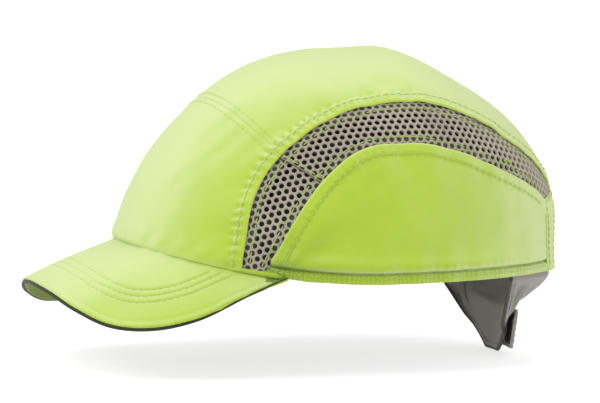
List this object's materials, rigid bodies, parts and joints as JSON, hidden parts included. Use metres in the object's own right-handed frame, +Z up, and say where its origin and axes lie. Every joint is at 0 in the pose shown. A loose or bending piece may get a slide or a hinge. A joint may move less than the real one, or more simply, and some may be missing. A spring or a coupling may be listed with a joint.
{
  "type": "bump cap",
  "caption": "Bright lime soft cap with a short curved brim, mesh side stripes, a removable padded inner shell and an adjustable grey nape strap.",
  "frame": {"origin": "centre of the head opening, level with the hem at the sides", "axes": "-Y is the front, where the brim points; +X is the wearer's left; +Z is up, towards the top of the head"},
  "size_m": [0.174, 0.2594, 0.1496],
  "materials": {
    "lime_fabric": "bright yellow-green woven cloth, topstitched",
    "mesh_fabric": "warm grey knitted spacer mesh with round holes",
    "grey_fabric": "grey woven cloth",
    "sweatband_fabric": "dark grey knitted towelling",
    "dark_trim": "dark woven binding",
    "loop_tape": "looped pile tape",
    "hook_tape": "hooked tape",
    "board": "thin flexible board",
    "shell": "moulded textured shell",
    "foam": "soft closed-cell foam with a cloth face"
  },
  "bodies": {
    "cap": {"front_panel": "lime_fabric", "crown_panel": "lime_fabric", "mesh_panel_left": "mesh_fabric", "mesh_panel_right": "mesh_fabric", "side_panel_left": "lime_fabric", "side_panel_right": "lime_fabric", "rear_binding": "lime_fabric", "hem_tape": "grey_fabric", "front_seam_tape": "grey_fabric", "stripe_tape_left": "grey_fabric", "stripe_tape_right": "grey_fabric", "brim_cover_top": "lime_fabric", "brim_board": "board", "brim_edge_trim": "dark_trim", "brim_cover_under": "lime_fabric", "sweatband": "sweatband_fabric", "crown_loop_patches": "loop_tape"},
    "liner": {"liner_hook_patches": "hook_tape", "protective_shell": "shell", "foam_pad_front": "foam", "foam_pad_crown": "foam", "foam_pad_left": "foam", "foam_pad_right": "foam", "foam_pad_rear": "foam"},
    "nape": {"nape_flap_left": "grey_fabric", "nape_flap_right": "grey_fabric", "nape_piping_left": "dark_trim", "nape_piping_right": "dark_trim", "loop_tape": "loop_tape"},
    "adjuster": {"closing_strap": "grey_fabric", "hook_tape": "hook_tape"},
    "tab": {"pull_tab": "grey_fabric"}
  },
  "joints": [
    {"name": "liner_drop", "type": "slide", "parent": "cap", "child": "liner", "axis": [0, 0, -1], "range_m": [0, 0.02]},
    {"name": "nape_swing", "type": "hinge", "parent": "cap", "child": "nape", "pos_m": [0, 0.08, 0], "axis": [1, 0, 0], "range_deg": [-8, 8]},
    {"name": "strap_adjust", "type": "hinge", "parent": "nape", "child": "adjuster", "pos_m": [0, 0.01894, -0.02172], "axis": [0, 0.1504, 0.9886], "range_deg": [-8, 8]},
    {"name": "tab_lift", "type": "hinge", "parent": "adjuster", "child": "tab", "pos_m": [0.02365, 0.08439, -0.03168], "axis": [0, 0.1504, 0.9886], "range_deg": [0, 110]}
  ]
}
